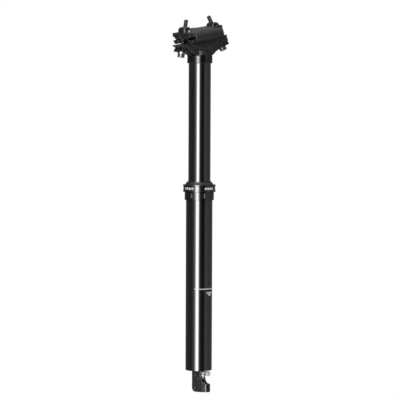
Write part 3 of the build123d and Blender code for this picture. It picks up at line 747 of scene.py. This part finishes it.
wiperLook = {
    "lipRadius": 13.22 * mm,
    "lipDepth": 1.2 * mm,
    "tipRadius": 14.6 * mm,
    "tipReach": 0.3 * mm,
    "neckRadius": 14.8 * mm,
    "neckReach": 0.15 * mm,
    "shoulderRadius": 15.4 * mm,
    "shoulderDrop": 1.5 * mm,
    "shoulderReach": 0.2 * mm,
    "baseRadius": 16.7 * mm,
    "baseRise": 0.5 * mm,
    "baseReach": 0.25 * mm,
    "hollowRadius": 14.0 * mm,
    "tuck": 0.4 * mm,
    "innerReach": 0.1 * mm,
    "outlineGap": 0.4 * mm,
    "stepsRound": 240,
}


def wiperSkin():
    # a rubber cone with a shoulder half-way up and a lip that is thin against the stanchion
    look = wiperLook
    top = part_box("wiper_seal")[1][2]
    foot = collarHigh[2]
    shoulder = top - look["shoulderDrop"]
    tuck = foot - look["tuck"]
    inner = look["innerReach"]
    corners = [
        (look["lipRadius"], top, inner), (look["tipRadius"], top, look["tipReach"]),
        (look["neckRadius"], shoulder, look["neckReach"]),
        (look["shoulderRadius"], shoulder, look["shoulderReach"]),
        (look["baseRadius"], foot + look["baseRise"], look["baseReach"]),
        (look["baseRadius"], tuck, inner), (look["hollowRadius"], tuck, inner),
        (look["lipRadius"], top - look["lipDepth"], inner),
    ]
    outline = fillGaps(roundCorners(corners), look["outlineGap"])
    piece = turnedSkin("wiper_skin", outline, look["stepsRound"])
    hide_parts("wiper_seal")
    return finishPiece(piece, "rubber", "lower_assembly")


wiperSkin()
print("stage: collar and wiper")


# Printed marks: the insertion line with its arrow on the lower tube, and plain bars on the collar
printLook = {
    "lift": 0.03 * mm,
    "sink": 0.005 * mm,      # how far a mark's back is inside the surface
    "lineHeight": 98.1 * mm,
    "lineWidth": 1.0 * mm,
    "lineFrom": 45.4,
    "lineTo": 182.6,
    "lineSteps": 90,
    "arrowAngle": 117.0,
    "barTop": 94.1 * mm,
    "barBottom": 92.5 * mm,
    "barHalf": 4.2 * mm,
    "barSteps": 16,
    "arrowTop": 91.7 * mm,
    "arrowBottom": 89.4 * mm,
    "arrowHalf": 3.1 * mm,
    "arrowSteps": 17,
    "arrowEdge": 0.01 * mm,  # the triangle's height at its two upper corners
    "bandLow": 216.2 * mm,
    "bandHigh": 218.9 * mm,
    "bandGroups": (5.0, 85.0),
    "bandBlocks": 4,
    "bandBlockTurn": 7.4,
    "bandBlockPitch": 10.2,
    "bandSteps": 12,
}


def wrappedPatch(name, surface, lowEdge, highEdge, angleFrom, angleTo, body, steps):
    # a thin skin on a cylinder: two heights as functions of the angle, with a back a little inside it
    angles = np.radians(np.linspace(angleFrom, angleTo, steps))
    share = np.linspace(0, 1, steps)
    low = lowEdge(share)
    high = highEdge(share)
    back = surface - printLook["sink"]
    front = back + printLook["lift"]
    corners = ((back, low), (front, low), (front, high), (back, high))
    points = np.stack([
        np.stack([radius * np.cos(angles), radius * np.sin(angles), level], axis=-1)
        for radius, level in corners
    ], axis=1)
    piece = meshFromGrid(name, points)
    return finishPiece(piece, "printWhite", body, smooth=False)


def flatEdge(level):
    return lambda share: np.full(len(share), level)


def arrowEdge(share):
    # from the upper corners down to a point half-way along
    depth = printLook["arrowTop"] - printLook["arrowBottom"]
    return printLook["arrowTop"] - printLook["arrowEdge"] - depth * (1 - np.abs(2 * share - 1))


line = printLook["lineHeight"]
half = printLook["lineWidth"] / 2
wrappedPatch("insertion_line", tubeRadius, flatEdge(line - half), flatEdge(line + half),
             printLook["lineFrom"], printLook["lineTo"], "lower_assembly", printLook["lineSteps"])
middle = printLook["arrowAngle"]
barTurn = math.degrees(printLook["barHalf"] / tubeRadius)
wrappedPatch("insertion_bar", tubeRadius, flatEdge(printLook["barBottom"]), flatEdge(printLook["barTop"]),
             middle - barTurn, middle + barTurn, "lower_assembly", printLook["barSteps"])
arrowTurn = math.degrees(printLook["arrowHalf"] / tubeRadius)
wrappedPatch("insertion_arrow", tubeRadius, arrowEdge, flatEdge(printLook["arrowTop"]),
             middle - arrowTurn, middle + arrowTurn, "lower_assembly", printLook["arrowSteps"])
for group, start in enumerate(printLook["bandGroups"]):    # plain blocks in place of the collar's print
    for block in range(printLook["bandBlocks"]):
        first = start + block * printLook["bandBlockPitch"]
        wrappedPatch("band_block_%d_%d" % (group, block), collarLook["bandRadius"],
                     flatEdge(printLook["bandLow"]), flatEdge(printLook["bandHigh"]),
                     first, first + printLook["bandBlockTurn"], "lower_assembly", printLook["bandSteps"])
print("stage: printed marks")


# Floor, cards and lights
stageLook = {
    "floorDrop": 0.6 * mm,
    "floorHalf": 12.0,
    "floorGlow": 1.0,
    "cardDistance": 1.6,
    "cardLow": -0.6,
    "cardHigh": 1.7,
    "roomGlow": 0.04,        # what reflections see where no card stands
    "roofHeight": 2.4,
    "roofHalf": 2.6,
    "roofGlow": 1.1,
    "glowRound": {           # what reflections see at an angle from the camera's direction, plus to its right
        -180: 0.4, -168: 0.4, -160: 0.12, -150: 0.1, -66: 0.11, -58: 0.18, -48: 0.5, -40: 1.0,
        -32: 3.0, -26: 9, -22: 14, -9: 14, -3: 5.5, 0: 3.0, 5: 0.36, 14: 0.15, 26: 0.01, 44: 0.01,
        50: 0.33, 62: 0.45, 85: 0.3, 110: 0.18, 150: 0.16, 160: 0.12, 168: 0.4, 180: 0.4,
    },
    "glowColumns": 361,
    "lights": {              # angle, distance and height, then the panel's width and height and its power
        "fillLight": (-30, 1.9, 1.0, 1.0, 1.4, 8.0),
        "topLight": (60, 0.6, 1.9, 1.2, 1.2, 6.0),
    },
    "lightAim": 0.2,
}


def glowMaterial(name, glow):
    material = bpy.data.materials.new(name)
    material.use_nodes = True
    shader = material.node_tree.nodes["Principled BSDF"]
    shader.inputs["Base Color"].default_value = (0, 0, 0, 1)
    shader.inputs["Roughness"].default_value = 0.9
    shader.inputs["Specular IOR Level"].default_value = 0.0
    shader.inputs["Emission Color"].default_value = (1, 1, 1, 1)
    shader.inputs["Emission Strength"].default_value = glow
    return material


def levelCard(name, reach, height, glow, down=False):
    # a glowing square that faces up, or down where its corners run the other way round
    corners = [(-reach, -reach), (reach, -reach), (reach, reach), (-reach, reach)]
    if down:
        corners.reverse()
    data = bpy.data.meshes.new(name)
    data.from_pydata([(x, y, height) for x, y in corners], [], [(0, 1, 2, 3)])
    data.materials.append(glowMaterial(name, glow))
    card = bpy.data.objects.new(name, data)
    bpy.context.scene.collection.objects.link(card)
    return card


def showToReflectionsOnly(card):
    card.visible_camera = False
    card.visible_diffuse = False
    card.visible_shadow = False


def makeFloor():
    low = cadBox[0][2] - stageLook["floorDrop"]
    floor = levelCard("paleFloor", stageLook["floorHalf"], low, stageLook["floorGlow"])
    floor.visible_glossy = False


def makeRoof():
    # a level card overhead, for the sheen on surfaces that look upwards
    high = stageLook["roofHeight"]
    roof = levelCard("roofCard", stageLook["roofHalf"], high, stageLook["roofGlow"], down=True)
    showToReflectionsOnly(roof)


def polar(angleDegrees, distance, height):
    turn = math.radians(cameraView["direction"] + angleDegrees)
    return Vector((distance * math.cos(turn), distance * math.sin(turn), height))


def makeGlowCard():
    # an upright round card whose brightness is interpolated along its angle
    glowRound = stageLook["glowRound"]
    columns = stageLook["glowColumns"]
    degrees = np.linspace(min(glowRound), max(glowRound), columns)
    glow = np.interp(degrees, list(glowRound), list(glowRound.values()))
    angles = np.radians(degrees + cameraView["direction"])
    reach = stageLook["cardDistance"]
    rows = [np.stack([reach * np.cos(angles), reach * np.sin(angles), np.full(columns, level)], axis=-1)
            for level in (stageLook["cardLow"], stageLook["cardHigh"])]
    piece = meshFromGrid("glowCard", np.stack(rows), wrapSteps=False, capped=False)
    piece.data.attributes.new("glow", "FLOAT", "POINT").data.foreach_set("value", np.tile(glow, 2))
    material = glowMaterial("glowCard", 1.0)
    tree = material.node_tree
    reader = addNode(tree, "ShaderNodeAttribute", attribute_name="glow")
    tree.links.new(reader.outputs["Fac"], tree.nodes["Principled BSDF"].inputs["Emission Strength"])
    piece.data.materials.append(material)
    showToReflectionsOnly(piece)


def makeLight(name, angle, distance, height, wide, tall, power):
    data = bpy.data.lights.new(name, "AREA")
    data.shape = "RECTANGLE"
    data.size = wide
    data.size_y = tall
    data.energy = power
    light = bpy.data.objects.new(name, data)
    bpy.context.scene.collection.objects.link(light)
    place = polar(angle, distance, height)
    towards = Vector((0, 0, stageLook["lightAim"])) - place
    light.matrix_world = Matrix.Translation(place) @ towards.to_track_quat("-Z", "Y").to_matrix().to_4x4()
    light.visible_camera = False
    light.visible_glossy = False


def makeWorld():
    # the camera sees a white room, and everything else a dim one
    world = bpy.data.worlds.new("whiteRoom")
    world.use_nodes = True
    tree = world.node_tree
    path = addNode(tree, "ShaderNodeLightPath")
    glow = addNode(tree, "ShaderNodeMapRange")
    glow.inputs["To Min"].default_value = stageLook["roomGlow"]
    glow.inputs["To Max"].default_value = 1.0
    tree.links.new(path.outputs["Is Camera Ray"], glow.inputs["Value"])
    tree.links.new(glow.outputs["Result"], tree.nodes["Background"].inputs["Strength"])
    tree.nodes["Background"].inputs["Color"].default_value = (1, 1, 1, 1)
    bpy.context.scene.world = world


makeFloor()
makeRoof()
makeGlowCard()
for name, settings in stageLook["lights"].items():
    makeLight(name, *settings)
makeWorld()
bpy.context.scene.view_settings.view_transform = "Standard"
print("stage: floor and lights")
